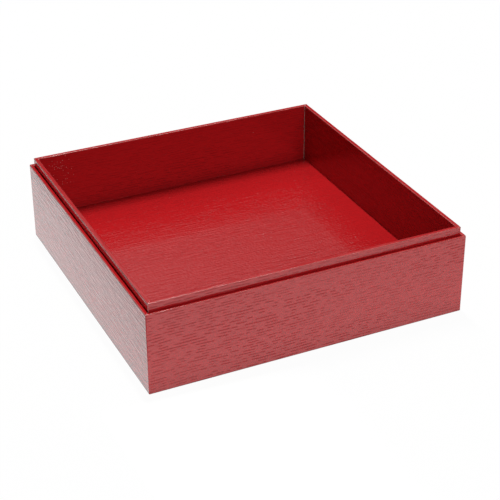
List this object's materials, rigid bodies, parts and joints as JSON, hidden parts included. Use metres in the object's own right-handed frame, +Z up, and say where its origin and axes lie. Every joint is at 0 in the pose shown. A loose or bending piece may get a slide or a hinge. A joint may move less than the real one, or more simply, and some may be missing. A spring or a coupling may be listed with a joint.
{
  "type": "paper jubako",
  "caption": "Square open tier of a stacking food box in covered board, with a raised floor, a proud collar that the lid or next tier slides over, and a skirt below.",
  "frame": {"origin": "centre of the base, on the surface that the box stands on", "axes": "+X to the right along the front, +Y to the back, +Z up out of the open top"},
  "size_m": [0.195, 0.195, 0.055],
  "materials": {
    "embossed_red_paper": "glossy film-laminated paper with a fine embossed wood grain",
    "plain_red_paper": "plain satin paper",
    "grey_board": "bare grey board",
    "kraft_tape": "kraft paper tape"
  },
  "bodies": {
    "root": {"outer_board_front": "grey_board", "outer_board_back": "grey_board", "outer_board_left": "grey_board", "outer_board_right": "grey_board", "outer_stay_front_left": "kraft_tape", "outer_stay_front_right": "kraft_tape", "outer_stay_back_left": "kraft_tape", "outer_stay_back_right": "kraft_tape", "outer_wrap": "embossed_red_paper", "tray_board_front": "grey_board", "tray_board_back": "grey_board", "tray_board_left": "grey_board", "tray_board_right": "grey_board", "tray_floor_board": "grey_board", "tray_stay_front_left": "kraft_tape", "tray_stay_front_right": "kraft_tape", "tray_stay_back_left": "kraft_tape", "tray_stay_back_right": "kraft_tape", "tray_wrap": "embossed_red_paper", "floor_lining": "embossed_red_paper", "base_sheet": "plain_red_paper"}
  },
  "joints": []
}
